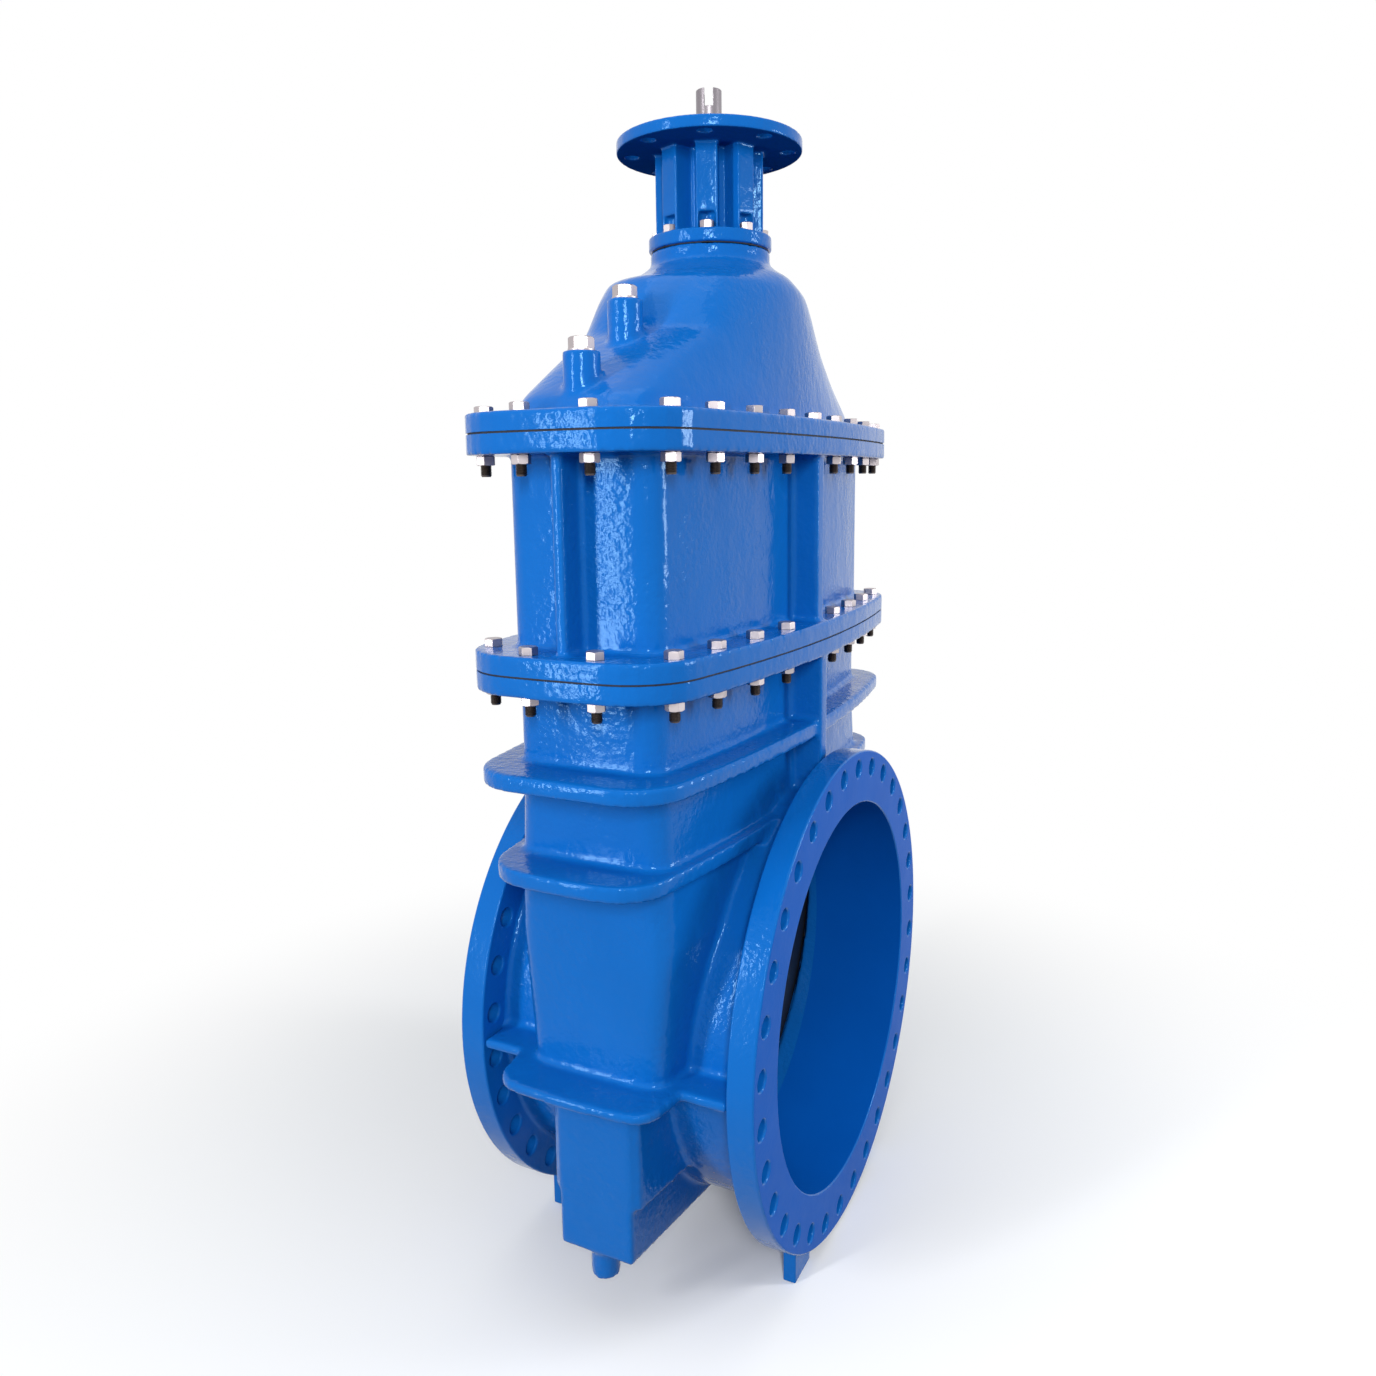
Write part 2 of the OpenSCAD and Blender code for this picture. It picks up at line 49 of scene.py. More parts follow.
mounts = {m["name"]: m for m in frame["record"]["mounts"]}
scene = bpy.context.scene
mm = 0.001
axisZ = mounts["outlet_bolts"]["pos_m"][2]  # height of the pipe axis
pipeAxis = Vector((0, 0, axisZ))
print("frame loaded")


# ---- Camera, light and floor

cameraSettings = {
    "place": (1.1239, -2.3470, 1.8223),
    "azimuth": 26.61,  # degrees, towards +X
    "down": 9.39,
    "roll": -0.7,
    "lens": 28.16,
    "shift": (-0.0051, -0.0225),
}


def makeCamera(settings):
    a, e, roll = (math.radians(settings[k]) for k in ("azimuth", "down", "roll"))
    forward = Vector((-math.sin(a) * math.cos(e), math.cos(a) * math.cos(e), -math.sin(e)))
    right = forward.cross(Vector((0, 0, 1))).normalized()
    up = right.cross(forward)
    turned = math.cos(roll) * right + math.sin(roll) * up
    risen = math.cos(roll) * up - math.sin(roll) * right
    data = bpy.data.cameras.new("camera")
    data.lens = settings["lens"]
    data.sensor_width = 36
    data.shift_x, data.shift_y = settings["shift"]
    camera = bpy.data.objects.new("camera", data)
    turn = Matrix((turned, risen, -forward)).transposed()
    camera.matrix_world = Matrix.Translation(settings["place"]) @ turn.to_4x4()
    scene.collection.objects.link(camera)
    scene.camera = camera


makeCamera(cameraSettings)


def linear(hexColour):
    # sRGB hex to the linear colour that the shaders take
    parts = [int(hexColour[i:i + 2], 16) / 255 for i in (1, 3, 5)]
    return tuple(c / 12.92 if c <= 0.04045 else ((c + 0.055) / 1.055) ** 2.4 for c in parts) + (1,)


def addNode(tree, kind, settings=None, values=None, links=None):
    node = tree.nodes.new(kind)
    for name, value in (settings or {}).items():
        setattr(node, name, value)
    for name, value in (values or {}).items():
        node.inputs[name].default_value = value
    for name, source in (links or {}).items():
        tree.links.new(source, node.inputs[name])
    return node


lightSettings = {
    "window": {"place": (-2.1, -4.5, 2.1), "size": (0.55, 3.4), "power": 135, "aim": (0, 0, 1.9)},
    "front": {"place": (2.3, -4.3, 3.0), "size": (0.5, 1.6), "power": 140, "aim": (0, 0, 1.2)},
    "ceiling": {"place": (0.2, -0.9, 5.0), "size": (3.2, 2.6), "power": 36, "aim": (0, 0, 1.2)},
    "side": {"place": (4.0, 1.6, 2.2), "size": (0.8, 2.0), "power": 90, "aim": (0, 0, 1.0)},
}


def makeLights(settings):
    for name, lamp in settings.items():
        data = bpy.data.lights.new(name, "AREA")
        data.shape = "RECTANGLE"
        data.size, data.size_y = lamp["size"]
        data.energy = lamp["power"]
        light = bpy.data.objects.new(name, data)
        aim = (Vector(lamp["aim"]) - Vector(lamp["place"])).to_track_quat("-Z", "Y")
        light.matrix_world = Matrix.Translation(lamp["place"]) @ aim.to_matrix().to_4x4()
        scene.collection.objects.link(light)


makeLights(lightSettings)

white = (1, 1, 1, 1)
roomSettings = {"ambient": 0.45, "tint": (0.96, 0.98, 1, 1)}
floorSettings = {
    "floorHex": "#f6f7f8", "bounceHex": "#6f747a",  # seen by the camera, and lighting the valve from below
    "fadeFrom": 0.9, "fadeTo": 2.5, "reach": 40,
}


def paleSeen(tree):
    # One where the camera, or a reflection or view through a piece, sees the room itself
    path = addNode(tree, "ShaderNodeLightPath")
    seen = addNode(tree, "ShaderNodeMath", {"operation": "MAXIMUM"},
                   links={0: path.outputs["Is Camera Ray"], 1: path.outputs["Is Glossy Ray"]})
    return addNode(tree, "ShaderNodeMath", {"operation": "MAXIMUM"},
                   links={0: seen.outputs[0], 1: path.outputs["Is Transmission Ray"]})


def mixed(tree, share, first, second):
    links = {0: share, 1: first.outputs[0], 2: second.outputs[0]}
    return addNode(tree, "ShaderNodeMixShader", links=links)


def makeRoom(settings):
    # Even soft light from all round, and a white background
    world = bpy.data.worlds.new("room")
    world.use_nodes = True
    scene.world = world
    tree = world.node_tree
    tree.nodes.clear()
    soft = addNode(tree, "ShaderNodeBackground",
                   values={"Color": settings["tint"], "Strength": settings["ambient"]})
    plain = addNode(tree, "ShaderNodeBackground", values={"Color": white, "Strength": 1.0})
    room = mixed(tree, paleSeen(tree).outputs[0], soft, plain)
    addNode(tree, "ShaderNodeOutputWorld", links={"Surface": room.outputs[0]})


def makeFloor(settings):
    # Floor that fades into the background away from the valve
    bm = bmesh.new()
    bmesh.ops.create_grid(bm, x_segments=2, y_segments=2, size=settings["reach"])
    mesh = bpy.data.meshes.new("floor")
    bm.to_mesh(mesh)
    bm.free()
    floor = bpy.data.objects.new("floor", mesh)
    scene.collection.objects.link(floor)
    material = bpy.data.materials.new("painted floor")
    material.use_nodes = True
    tree = material.node_tree
    tree.nodes.clear()
    place = addNode(tree, "ShaderNodeTexCoord")
    away = addNode(tree, "ShaderNodeVectorMath", {"operation": "LENGTH"}, links={0: place.outputs["Object"]})
    fade = addNode(tree, "ShaderNodeMapRange", {"interpolation_type": "SMOOTHSTEP"},
                   {"From Min": settings["fadeFrom"], "From Max": settings["fadeTo"]},
                   {"Value": away.outputs["Value"]})
    paint = addNode(tree, "ShaderNodeBsdfDiffuse", values={"Color": linear(settings["floorHex"])})
    glow = addNode(tree, "ShaderNodeEmission", values={"Color": white, "Strength": 1.0})
    pale = mixed(tree, fade.outputs["Result"], paint, glow)
    dim = addNode(tree, "ShaderNodeBsdfDiffuse", values={"Color": linear(settings["bounceHex"])})
    surface = mixed(tree, paleSeen(tree).outputs[0], dim, pale)
    addNode(tree, "ShaderNodeOutputMaterial", links={"Surface": surface.outputs[0]})
    mesh.materials.append(material)


makeRoom(roomSettings)
makeFloor(floorSettings)
scene.view_settings.view_transform = "Standard"
print("camera, light and floor ready")


# ---- Materials

def newMaterial(name):
    material = bpy.data.materials.new(name)
    material.use_nodes = True
    tree = material.node_tree
    tree.nodes.clear()
    coords = addNode(tree, "ShaderNodeTexCoord")
    shader = addNode(tree, "ShaderNodeBsdfPrincipled")
    addNode(tree, "ShaderNodeOutputMaterial", links={"Surface": shader.outputs[0]})
    return material, tree, coords.outputs["Object"], shader


def grain(tree, where, sizeMm, detail=2.0):
    # Noise whose lumps are about sizeMm across
    values = {"Scale": 1 / (sizeMm * mm), "Detail": detail, "Roughness": 0.5}
    return addNode(tree, "ShaderNodeTexNoise", values=values, links={"Vector": where}).outputs["Fac"]


def roughened(tree, shader, noise, low, high):
    # Roughness that wanders between two values
    dull = addNode(tree, "ShaderNodeMapRange", values={"To Min": low, "To Max": high},
                   links={"Value": noise})
    tree.links.new(dull.outputs["Result"], shader.inputs["Roughness"])


def bumped(tree, height, deepMm, strength=1.0, over=None):
    # Normal of a bump, laid over another bump's normal where one is given
    links = {"Height": height, "Normal": over} if over else {"Height": height}
    values = {"Strength": strength, "Distance": deepMm * mm}
    return addNode(tree, "ShaderNodeBump", values=values, links=links).outputs["Normal"]


epoxySettings = {
    "hex": "#0b64b8", "shadeHex": "#095cac", "cloudMm": 160,
    "glossHex": "#a5deff", "specular": 0.26, "dull": (0.1, 0.17), "dullMm": 60,
    "peelMm": 13, "peelDeep": 1.7, "waveMm": 36, "waveDeep": 1.6,
    "patchMm": 190, "patchEdge": (0.45, 0.6), "calm": 0.35,  # patches of full peel, and what is left between
}
turnedSkin = {"waveMm": 60, "waveDeep": 0.8}
satinSkin = {
    "hex": "#0459b8", "shadeHex": "#0352ad", "specular": 0.05, "dull": (0.34, 0.44),
    "peelDeep": 0.3, "waveDeep": 0.3,
}
# Painted shade: a darker epoxy colour, without gloss, for the down-facing faces just under the pedestal's
# top flange
undersideShadeSkin = {"hex": "#0d4a90", "shadeHex": "#0b4284", "specular": 0.0}
metalMarks = {"strength": 0.5, "deep": 0.05}
rubberSkin = {"spread": 0.08, "bloomMm": 25, "grainMm": 4, "strength": 0.4, "deep": 0.1}


def fusionBondedEpoxy(name, settings):
    # Thick blue powder epoxy baked on sand-cast iron: deep even colour, wet gloss and orange peel
    material, tree, where, shader = newMaterial(name)
    cloud = grain(tree, where, settings["cloudMm"], 3)
    colour = addNode(tree, "ShaderNodeMix", {"data_type": "RGBA"}, links={0: cloud})
    colour.inputs[6].default_value = linear(settings["hex"])
    colour.inputs[7].default_value = linear(settings["shadeHex"])
    tree.links.new(colour.outputs[2], shader.inputs["Base Color"])
    roughened(tree, shader, grain(tree, where, settings["dullMm"]), *settings["dull"])
    shader.inputs["IOR"].default_value = 1.45
    shader.inputs["Specular IOR Level"].default_value = settings["specular"]
    shader.inputs["Specular Tint"].default_value = linear(settings["glossHex"])
    wave = bumped(tree, grain(tree, where, settings["waveMm"]), settings["waveDeep"])
    low, high = settings["patchEdge"]
    patch = addNode(tree, "ShaderNodeMapRange",
                    values={"From Min": low, "From Max": high, "To Min": settings["calm"], "To Max": 1.0},
                    links={"Value": grain(tree, where, settings["patchMm"], 1)})
    lumps = addNode(tree, "ShaderNodeMath", {"operation": "MULTIPLY"},
                    links={0: grain(tree, where, settings["peelMm"]), 1: patch.outputs["Result"]})
    peel = bumped(tree, lumps.outputs[0], settings["peelDeep"], over=wave)
    tree.links.new(peel, shader.inputs["Normal"])
    return material


def turnedMetal(name, hexColour, roughness, wearMm, spread):
    # Bare or plated metal: a tinted mirror broken by fine tool marks and handling dullness
    material, tree, where, shader = newMaterial(name)
    shader.inputs["Metallic"].default_value = 1.0
    shader.inputs["Base Color"].default_value = linear(hexColour)
    roughened(tree, shader, grain(tree, where, wearMm, 3), roughness - spread, roughness + spread)
    marks = bumped(tree, grain(tree, where, wearMm / 3), metalMarks["deep"], metalMarks["strength"])
    tree.links.new(marks, shader.inputs["Normal"])
    return material


def mouldedRubber(name, hexColour, roughness):
    # Moulded EPDM: near-black, satin, with a faint bloom
    material, tree, where, shader = newMaterial(name)
    shader.inputs["Base Color"].default_value = linear(hexColour)
    bloom = grain(tree, where, rubberSkin["bloomMm"])
    roughened(tree, shader, bloom, roughness - rubberSkin["spread"], roughness + rubberSkin["spread"])
    pores = grain(tree, where, rubberSkin["grainMm"])
    skin = bumped(tree, pores, rubberSkin["deep"], rubberSkin["strength"])
    tree.links.new(skin, shader.inputs["Normal"])
    return material


epoxy = fusionBondedEpoxy("fusion-bonded epoxy on cast iron", epoxySettings)
turnedEpoxy = fusionBondedEpoxy("fusion-bonded epoxy on turned iron", {**epoxySettings, **turnedSkin})
satinEpoxy = fusionBondedEpoxy("thin satin epoxy on faced iron", {**epoxySettings, **satinSkin})
# Its darker colour is painted shade on the undersides of the pedestal's top flange
undersideShadeEpoxy = fusionBondedEpoxy("epoxy darkened as painted shade under the top flange", {**epoxySettings, **undersideShadeSkin})
zincPlate = turnedMetal("zinc-plated steel", "#b5adaf", 0.42, 5, 0.08)
oiledThread = turnedMetal("oiled steel thread", "#57504d", 0.45, 4, 0.08)
sleeveSteel = turnedMetal("turned steel", "#8e888e", 0.34, 8, 0.06)
stainless = turnedMetal("stainless steel", "#bdbdbf", 0.25, 12, 0.05)
bronze = turnedMetal("aluminium bronze", "#b98a45", 0.3, 8, 0.06)
gateIron = turnedMetal("ductile iron", "#3b3d41", 0.55, 6, 0.1)
rubber = mouldedRubber("EPDM rubber", "#0b0d12", 0.5)
gasketRubber = mouldedRubber("gasket rubber", "#0a1222", 0.7)
guidePlastic = mouldedRubber("guide plastic", "#d8d2bb", 0.45)
print("materials ready")


# ---- Helpers for pieces

def finished(name, mesh, material, body="valve", replaced=()):
    mesh.name = name
    piece = bpy.data.objects.new(name, mesh)
    scene.collection.objects.link(piece)
    mesh.materials.clear()
    mesh.materials.append(material)
    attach(piece, body)
    if replaced:
        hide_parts(*replaced)
    return piece


def secondSkin(piece, material, isThere):
    # A second material on the faces that isThere picks
    piece.data.materials.append(material)
    for polygon in piece.data.polygons:
        if isThere(polygon):
            polygon.material_index = 1


def meshOf(bm):
    mesh = bpy.data.meshes.new("mesh")
    bm.to_mesh(mesh)
    bm.free()
    return mesh


def working(mesh):
    piece = bpy.data.objects.new("working", mesh)
    scene.collection.objects.link(piece)
    return piece


def evaluated(piece):
    # The mesh with its modifiers applied; the working object goes
    graph = bpy.context.evaluated_depsgraph_get()
    mesh = bpy.data.meshes.new_from_object(piece.evaluated_get(graph))
    bpy.data.objects.remove(piece)
    return mesh


def merged(node):
    bm = bmesh.new()
    bm.from_mesh(nodes[node].data)
    bmesh.ops.remove_doubles(bm, verts=bm.verts, dist=0.02 * mm)
    return bm


def spun(points, about, steps, centre=(0, 0, 0)):
    # Closed outline turned all round an axis
    bm = bmesh.new()
    verts = [bm.verts.new(p) for p in points]
    edges = [bm.edges.new(pair) for pair in zip(verts, verts[1:] + verts[:1])]
    bmesh.ops.spin(bm, geom=verts + edges, cent=centre, axis=about, angle=2 * math.pi,
                   steps=steps, use_merge=True, use_duplicate=False)
    bmesh.ops.remove_doubles(bm, verts=bm.verts, dist=0.01 * mm)
    bmesh.ops.recalc_face_normals(bm, faces=bm.faces)
    return bm


def boolean(mesh, other, how):
    piece, tool = working(mesh), working(other)
    step = piece.modifiers.new("step", "BOOLEAN")
    step.operation, step.object, step.solver = how, tool, "MANIFOLD"
    result = evaluated(piece)
    bpy.data.objects.remove(tool)
    return result


def joined(parts):
    # One mesh of many, each put in its place
    bm = bmesh.new()
    for mesh, place in parts:
        start = len(bm.verts)
        bm.from_mesh(mesh)
        bm.verts.ensure_lookup_table()
        bmesh.ops.transform(bm, matrix=place, verts=bm.verts[start:])
    return meshOf(bm)


def machined(mesh, sharp=32):
    # Flat faces stay flat and bevels read as rounds
    piece = working(mesh)
    mesh.shade_smooth()
    mesh.set_sharp_from_angle(angle=math.radians(sharp))
    even = piece.modifiers.new("even", "WEIGHTED_NORMAL")
    even.keep_sharp, even.weight = True, 100
    return evaluated(piece)


def bevelled(mesh, width, segments=3, angle=30):
    piece = working(mesh)
    edge = piece.modifiers.new("edge", "BEVEL")
    edge.width, edge.segments, edge.limit_method = width * mm, segments, "ANGLE"
    edge.angle_limit = math.radians(angle)
    return evaluated(piece)


jointSkin = {"drawn": 9, "left": 1, "sharp": 55}


def drawnOut(mesh, levels):
    # Faces that meet at a joint are drawn past it, and are cut back after the skin is made
    for vert in mesh.vertices:
        for level, way in levels:
            if abs(vert.co.z - level) < 0.05 * mm:
                vert.co.z += way * jointSkin["drawn"] * mm
                break
    return mesh


def cutBack(mesh, levels):
    # Flat joint faces with crisp edges, just past the joint so that the gasket lies between them
    bm = bmesh.new()
    bm.from_mesh(mesh)
    for level, way in levels:
        cut = bmesh.ops.bisect_plane(bm, geom=bm.verts[:] + bm.edges[:] + bm.faces[:], dist=0.01 * mm,
                                     plane_co=(0, 0, level + way * jointSkin["left"] * mm),
                                     plane_no=(0, 0, way), clear_outer=True)
        rim = [g for g in cut["geom_cut"] if isinstance(g, bmesh.types.BMEdge)]
        bmesh.ops.triangle_fill(bm, use_beauty=True, edges=rim, normal=(0, 0, way))
    result = meshOf(bm)
    result.shade_smooth()
    result.set_sharp_from_angle(angle=math.radians(jointSkin["sharp"]))
    return result


domeLow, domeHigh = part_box("domed_bonnet")
vents = [sum(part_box(node), Vector()) / 2 for node in ("upper_vent_plug", "lower_vent_plug")]
domeShell = {"overFlange": 50, "underNeck": 45, "offVents": 50}


def onDome(co):
    # On the dome's shell, away from its flange, its neck and the two vent bosses
    clear = all((co - vent).xy.length > domeShell["offVents"] * mm for vent in vents)
    low, high = domeLow.z + domeShell["overFlange"] * mm, domeHigh.z - domeShell["underNeck"] * mm
    return clear and low < co.z < high


def smoothed(piece, name, rounds, picked=None):
    # Smoothing of the whole piece, or of the picked vertices only
    step = piece.modifiers.new(name, "SMOOTH")
    step.factor, step.iterations = 0.5, rounds
    if picked is not None:
        piece.vertex_groups.new(name=name).add(picked, 1.0, "REPLACE")
        step.vertex_group = name


def innerCorners(mesh, turn=-0.12):
    # Vertices at edges that fold inwards by more than the turn, in radians
    bm = bmesh.new()
    bm.from_mesh(mesh)
    hollow = {v.index for e in bm.edges if e.calc_face_angle_signed(0) < turn for v in e.verts}
    bm.free()
    return list(hollow)


def castSkin(mesh, settings):
    # A cast and coated skin: one closed surface, its edges rounded and its inner corners filled
    piece = working(mesh)
    skin = piece.modifiers.new("skin", "REMESH")
    skin.mode, skin.voxel_size = "VOXEL", settings["voxel"] * mm
    smoothed(piece, "flow", settings["rounding"])
    piece = working(evaluated(piece))
    smoothed(piece, "fill", settings["filling"], innerCorners(piece.data))
    if "soften" in settings:
        shell = [v.index for v in piece.data.vertices if onDome(v.co)]
        smoothed(piece, "soft", settings["soften"], shell)
    smoothed(piece, "ease", 2)
    thin = piece.modifiers.new("thin", "DECIMATE")
    thin.ratio = min(1.0, settings["faces"] / (2 * len(piece.data.polygons)))
    result = evaluated(piece)
    result.shade_smooth()
    return result


def hexPrism(across, high):
    bm = bmesh.new()
    radius = across * mm / math.sqrt(3)
    bmesh.ops.create_cone(bm, cap_ends=True, segments=6, radius1=radius, radius2=radius,
                          depth=high * mm, matrix=Matrix.Translation((0, 0, high * mm / 2)))
    return meshOf(bm)


hexChamfer = {"crest": 0.475, "corner": 0.62, "slope": 30}  # radii as shares of the flats, and degrees


def chamferedHex(across, high, chamferBelow=False, edge=0.7):
    # Hexagon with the turned chamfer that leaves arcs on its flats
    crest, corner = across * mm * hexChamfer["crest"], across * mm * hexChamfer["corner"]
    drop = (corner - crest) * math.tan(math.radians(hexChamfer["slope"]))
    top = high * mm
    low = [(crest, 0, 0), (corner, 0, drop)] if chamferBelow else [(corner, 0, 0)]
    outline = [(0, 0, 0)] + low + [(corner, 0, top - drop), (crest, 0, top), (0, 0, top)]
    barrel = meshOf(spun(outline, (0, 0, 1), 96))
    return bevelled(boolean(hexPrism(across, high), barrel, "INTERSECT"), edge, 2, 24)


# ---- Body casting and its machined ends

faceX = mounts["outlet_bolts"]["pos_m"][0]
boltCircle = mounts["outlet_bolts"]["dims"]["pcd_mm"] * mm / 2
boltCount = mounts["outlet_bolts"]["dims"]["count"]

endSettings = {
    "thick": 60.3, "rim": 584.2, "bore": 457.2, "neck": 497.2, "fillet": 11,
    "liningIn": 104, "lining": 473, "edge": 5, "holeEdge": 5.5,
    "clearFrom": 112, "clearBore": 466, "clearRoot": 512, "clearDeep": 17, "clearOver": 140, "clearPast": 50,
    "gap": 0.8, "boreProud": 0.2, "tuck": 2, "tuckDeep": 4, "drillPast": 4,
}
faced = {"facing": 0.98, "faceSlack": 1, "boreSlack": 0.6}
footSettings = {"in": 3.7, "thick": 31, "out": 288, "wide": 94, "top": 150, "edge": 4}
bodySettings = {"voxel": 5, "rounding": 5, "filling": 14, "faces": 190000}


def onPipe(x, r):
    return Vector((x, 0, axisZ + r))


def endClearing(side, settings):
    # What the casting leaves to the machined end: the bore's lining and the flange
    back = faceX - (settings["thick"] + settings["gap"]) * mm
    deep, out = back + settings["clearDeep"] * mm, faceX + settings["clearPast"] * mm
    start, bore, root = settings["clearFrom"] * mm, settings["clearBore"] * mm, settings["clearRoot"] * mm
    over = (settings["rim"] + settings["clearOver"]) * mm
    outline = [(start, 0), (start, bore), (deep, bore), (deep, root),
               (back, root), (back, over), (out, over), (out, 0)]
    return meshOf(spun([onPipe(side * x, r) for x, r in outline], (1, 0, 0), 160, pipeAxis))


def quarter(x, r, radius, start, steps=4):
    # Points of a quarter round about (x, r), from the angle start
    angles = [start + i * math.pi / 2 / steps for i in range(steps + 1)]
    return [(x + radius * math.cos(a), r + radius * math.sin(a)) for a in angles]


def endRing(side, settings):
    # Flange, the fillet at its root and the lining of the bore, turned in one piece
    face, back = faceX, faceX - settings["thick"] * mm
    rim, bore, neck = settings["rim"] * mm, settings["bore"] * mm, settings["neck"] * mm
    edge, fillet, lining = settings["edge"] * mm, settings["fillet"] * mm, settings["lining"] * mm
    start, tuck = settings["liningIn"] * mm, back - fillet - settings["tuck"] * mm
    outline = [(start, bore - settings["boreProud"] * mm)]
    outline += quarter(face - edge, bore + edge, edge, -math.pi / 2)
    outline += quarter(face - edge, rim - edge, edge, 0)
    outline += quarter(back + edge, rim - edge, edge, math.pi / 2)
    outline += reversed(quarter(back - fillet, neck + fillet, fillet, -math.pi / 2))
    outline += [(tuck, neck - settings["tuckDeep"] * mm), (tuck, lining), (start, lining)]
    return meshOf(spun([onPipe(side * x, r) for x, r in outline], (1, 0, 0), 192, pipeAxis))


def footBlock(side, turn, settings):
    # Foot under one edge of a flange, with eased edges
    x0 = faceX - endSettings["thick"] * mm + settings["in"] * mm
    size = Vector((settings["thick"], settings["wide"], settings["top"])) * mm
    middle = Vector((side * (x0 + size.x / 2), turn * (settings["out"] * mm - size.y / 2), size.z / 2))
    bm = bmesh.new()
    bmesh.ops.create_cube(bm, size=1, matrix=Matrix.Translation(middle) @ Matrix.Diagonal(size).to_4x4())
    bmesh.ops.bevel(bm, geom=bm.edges[:], offset=settings["edge"] * mm, offset_type="OFFSET", segments=3,
                    profile=0.5, affect="EDGES", material=-1)
    return meshOf(bm)


def flangeDrills(side, radius, settings):
    # A drill whose flared ends leave each hole's rims rounded, copied round the bolt circle
    flare, past = settings["holeEdge"] * mm, settings["drillPast"] * mm
    face, back, wide = faceX, faceX - settings["thick"] * mm, radius + flare
    angles = [i * math.pi / 8 for i in range(5)]
    outline = [(back - past, 0), (back - past, wide)]
    outline += [(back + flare - flare * math.cos(a), wide - flare * math.sin(a)) for a in angles]
    outline += [(face - flare + flare * math.sin(a), wide - flare * math.cos(a)) for a in angles]
    outline += [(face + past, wide), (face + past, 0)]
    drill = meshOf(spun([Vector((side * x, 0, r)) for x, r in outline], (1, 0, 0), 40))
    turns = (Matrix.Rotation((i + 0.5) * 2 * math.pi / boltCount, 4, "X") for i in range(boltCount))
    middle, out = Matrix.Translation(pipeAxis), Matrix.Translation((0, 0, boltCircle))
    return joined((drill, middle @ turn @ out) for turn in turns)


def machinedEnd(side, radius, settings):
    mesh = endRing(side, settings)
    for turn in (-1, 1):
        mesh = boolean(mesh, footBlock(side, turn, footSettings), "UNION")
    return machined(boolean(mesh, flangeDrills(side, radius, settings), "DIFFERENCE"))


def bodyCasting():
    joint = [(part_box("body")[1].z, 1)]
    mesh = drawnOut(meshOf(merged("body")), joint)
    for side in (-1, 1):
        mesh = boolean(mesh, endClearing(side, endSettings), "DIFFERENCE")
    return cutBack(castSkin(mesh, bodySettings), joint)


def isFaced(polygon):
    # The gasket face of an end and its bore
    outermost = abs(polygon.center.x) > faceX - faced["faceSlack"] * mm
    flat = abs(polygon.normal.x) > faced["facing"] and outermost
    return flat or (polygon.center - pipeAxis).yz.length < (endSettings["bore"] + faced["boreSlack"]) * mm


finished("body_casting", bodyCasting(), epoxy, replaced=("body",))
print("body casting ready")
for name, side in (("inlet", -1), ("outlet", 1)):
    radius = mounts[name + "_bolts"]["dims"]["hole_r_mm"] * mm
    mesh = machinedEnd(side, radius, endSettings)
    end = finished(name + "_end", mesh, turnedEpoxy, replaced=("body",))
    secondSkin(end, satinEpoxy, isFaced)
print("machined ends ready")


# ---- Bonnets and pedestal

castings = {
    "middle_bonnet": {"voxel": 4.5, "rounding": 4, "filling": 14, "faces": 120000, "joints": (-1, 1)},
    "domed_bonnet": {"voxel": 4.5, "rounding": 5, "filling": 16, "faces": 120000, "joints": (-1,),
                     "soften": 70},
    "pedestal": {"voxel": 2.6, "rounding": 5, "filling": 8, "faces": 100000, "joints": (), "paintedShadeUnder": 30},
}
for node, settings in castings.items():
    low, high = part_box(node)
    joints = [(low.z if way < 0 else high.z, way) for way in settings["joints"]]
    mesh = castSkin(drawnOut(meshOf(merged(node)), joints), settings)
    casting = finished(node + "_casting", cutBack(mesh, joints), epoxy, replaced=(node,))
    # Down-facing faces just under the top flange take the darker epoxy: painted shade
    if "paintedShadeUnder" in settings:
        under = high.z - settings["paintedShadeUnder"] * mm
        secondSkin(casting, undersideShadeEpoxy, lambda face: face.normal.z < -0.7 and face.center.z > under)
    print(node, "ready")


# ---- Fasteners

jointSettings = {
    "flanges": {"lower_gasket": (37, 37), "upper_gasket": (37, 36)},  # thickness below and above
    "side": 254, "arc": 3612, "pitch": 152, "corner": (206, 602), "end": (75, 667),
    "across": 33, "head": 16, "nut": 19, "thread": 22.2, "beyond": 22,
    "threadPitch": 2.8, "threadDeep": 0.55, "point": 1.4, "sunk": 2,
}


def jointPlaces(settings):
    # Along the two bowed sides, then near the corners and at the ends
    spots = []
    for i in range(4):
        y = i * settings["pitch"]
        x = settings["side"] - settings["arc"] + math.sqrt(settings["arc"] ** 2 - y * y)
        spots += [(sx * x, sy * y) for sx in (-1, 1) for sy in ((-1, 1) if y else (1,))]
    for x, y in (settings["corner"], settings["end"]):
        spots += [(sx * x, sy * y) for sx in (-1, 1) for sy in (-1, 1)]
    return [(x * mm, y * mm) for x, y in spots]


def threadEnd(settings):
    # Bolt's end below its nut: rolled thread and a chamfered point
    r, pitch, sunk = settings["thread"] / 2 * mm, settings["threadPitch"] * mm, settings["sunk"] * mm
    depth, low = settings["threadDeep"] * pitch, -settings["beyond"] * mm
    outline, z = [(0, 0, sunk), (r - depth, 0, sunk)], 0
    while z > low + pitch:
        outline += [(r - depth, 0, z), (r, 0, z - pitch / 2)]
        z -= pitch
    outline += [(r - depth, 0, z), (r - settings["point"] * depth, 0, low), (0, 0, low)]
    return meshOf(spun(outline, (0, 0, 1), 28))


def anyTurn(shuffle):
    # A hexagon stops at any turn when it is tightened
    return Matrix.Rotation(shuffle.uniform(0, math.pi / 3), 4, "Z")


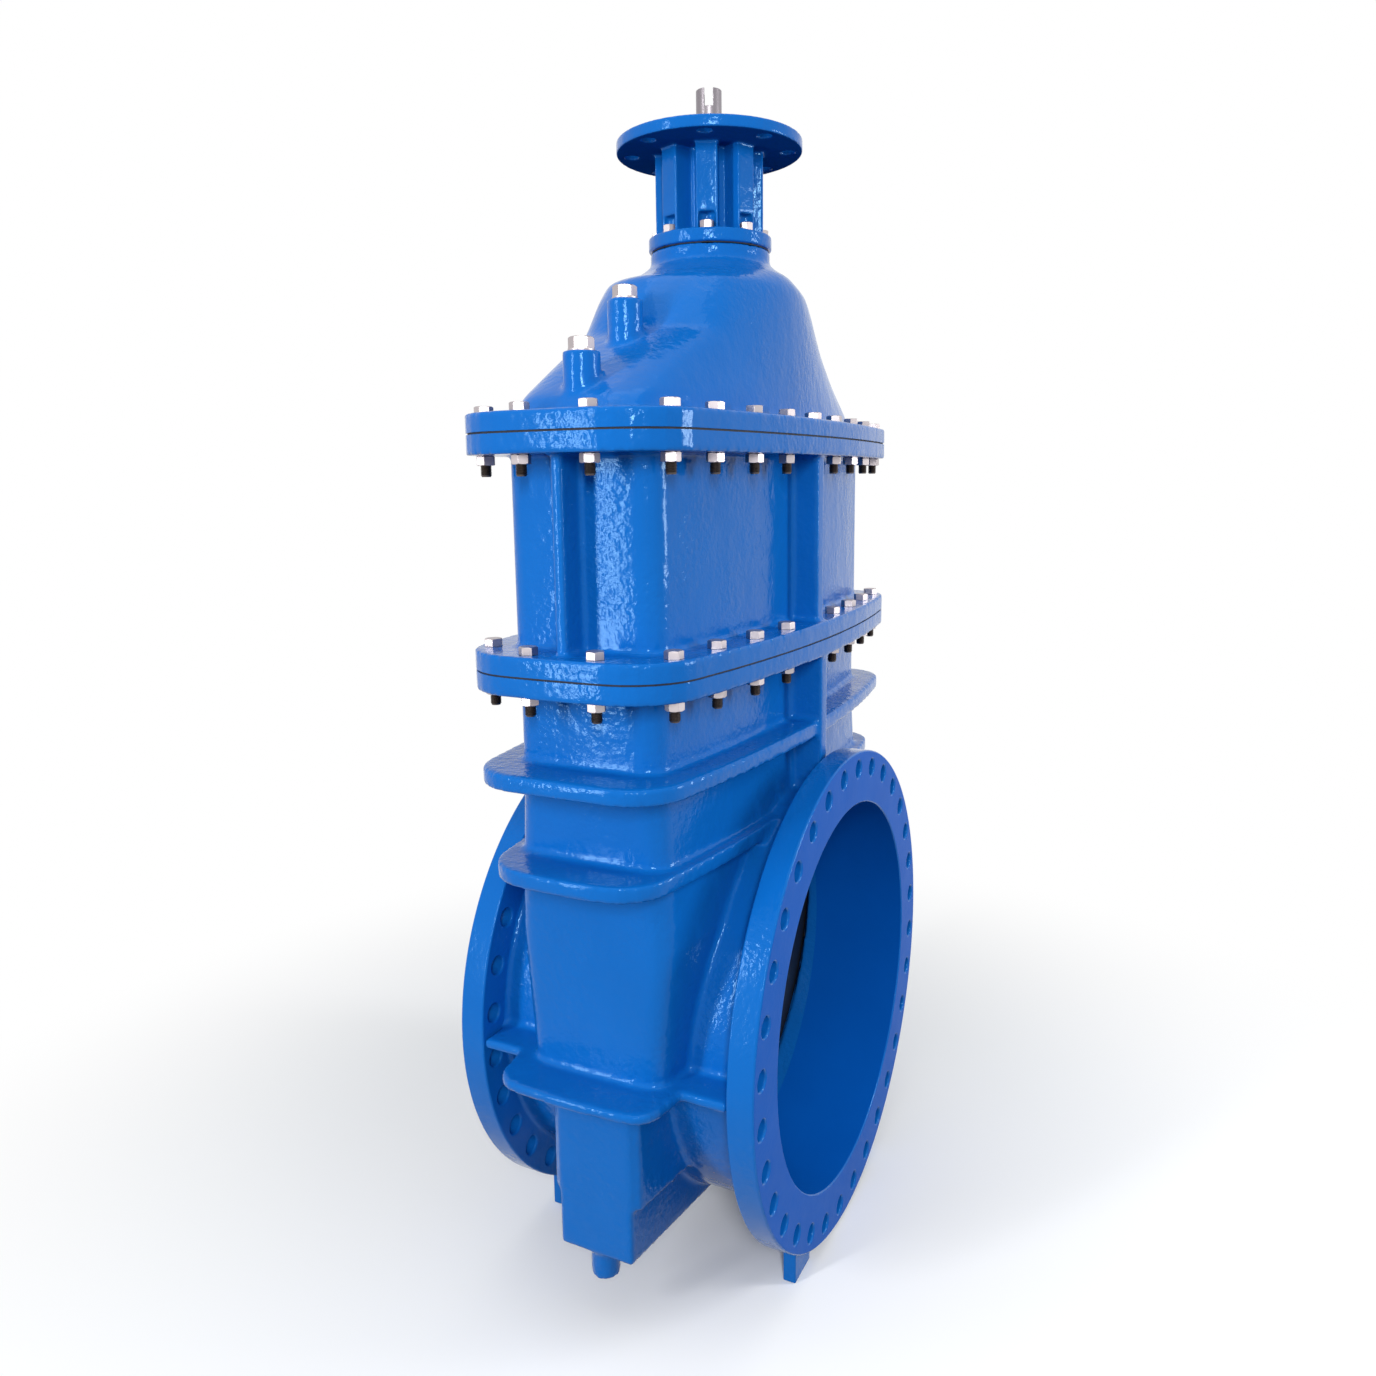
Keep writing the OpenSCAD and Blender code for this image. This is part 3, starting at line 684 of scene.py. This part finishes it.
def jointBolts(settings):
    shuffle = random.Random(4)
    head = machined(chamferedHex(settings["across"], settings["head"]))
    nut = machined(chamferedHex(settings["across"], settings["nut"], True))
    thread = machined(threadEnd(settings), 50)
    heads, nuts, ends = [], [], []
    for gasket, (below, above) in settings["flanges"].items():
        low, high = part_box(gasket)
        for x, y in jointPlaces(settings):
            over = Matrix.Translation((x, y, high.z + above * mm))
            under = Matrix.Translation((x, y, low.z - (below + settings["nut"]) * mm))
            heads.append((head, over @ anyTurn(shuffle)))
            nuts.append((nut, under @ anyTurn(shuffle)))
            ends.append((thread, under))
    finished("joint_bolt_heads", joined(heads), zincPlate)
    finished("joint_nuts", joined(nuts), zincPlate)
    finished("joint_bolt_ends", joined(ends), oiledThread)


jointBolts(jointSettings)

pedestalBolts = {"circle": 120, "count": 8, "across": 27, "head": 17, "seat": 29}


def pedestalHeads(settings):
    shuffle = random.Random(7)
    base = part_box("pedestal")[0].z + settings["seat"] * mm
    head = machined(chamferedHex(settings["across"], settings["head"]))
    heads = []
    for i in range(settings["count"]):
        angle = (i + 0.5) * 2 * math.pi / settings["count"]
        spot = Vector((math.cos(angle), math.sin(angle), 0)) * settings["circle"] * mm + Vector((0, 0, base))
        heads.append((head, Matrix.Translation(spot) @ anyTurn(shuffle)))
    finished("pedestal_bolt_heads", joined(heads), zincPlate)


pedestalHeads(pedestalBolts)

plugSettings = {
    "flange": 26, "thick": 4, "edge": 1.2, "sunk": 2,
    "across": 43.3, "high": 22, "headEdge": 1, "bite": 1,  # the head bites into the flange
}


def ventPlug(node, settings):
    # Plug with a round flange and a hexagon head
    low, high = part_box(node)
    seat = high.z - (settings["thick"] + settings["high"]) * mm
    r, t, sunk = settings["flange"] * mm, settings["thick"] * mm, -settings["sunk"] * mm
    disc = meshOf(spun([(0, 0, sunk), (r, 0, sunk), (r, 0, t), (0, 0, t)], (0, 0, 1), 64))
    flange = bevelled(disc, settings["edge"])
    head = chamferedHex(settings["across"], settings["high"] + settings["bite"], edge=settings["headEdge"])
    place = Matrix.Translation(((low.x + high.x) / 2, (low.y + high.y) / 2, seat))
    lift = Matrix.Translation((0, 0, t - settings["bite"] * mm))
    plug = joined(((flange, place), (head, place @ lift)))
    finished(node + "_head", machined(plug), zincPlate, replaced=(node,))


for node in ("upper_vent_plug", "lower_vent_plug"):
    ventPlug(node, plugSettings)
print("fasteners ready")


# ---- Drive end, gate and the parts inside

driveSettings = {"edge": 1.2}
driveEnd = machined(bevelled(meshOf(merged("drive_sleeve")), driveSettings["edge"]))
finished("drive_end", driveEnd, sleeveSteel, "spindle", ("drive_sleeve",))

inside = {
    "stem": stainless, "stem_nut": bronze, "stem_bushing": bronze, "lower_thrust_ring": bronze,
    "upper_thrust_ring": bronze, "lower_stem_seal": rubber, "upper_stem_seal": rubber,
    "gate_core": gateIron, "gate_rubber": rubber, "guide_shoe_near": guidePlastic,
    "guide_shoe_far": guidePlastic, "lower_gasket": gasketRubber, "upper_gasket": gasketRubber,
    "pedestal_gasket": gasketRubber,
}
for node, material in inside.items():
    nodes[node].material_slots[0].material = material
print("inner parts ready")
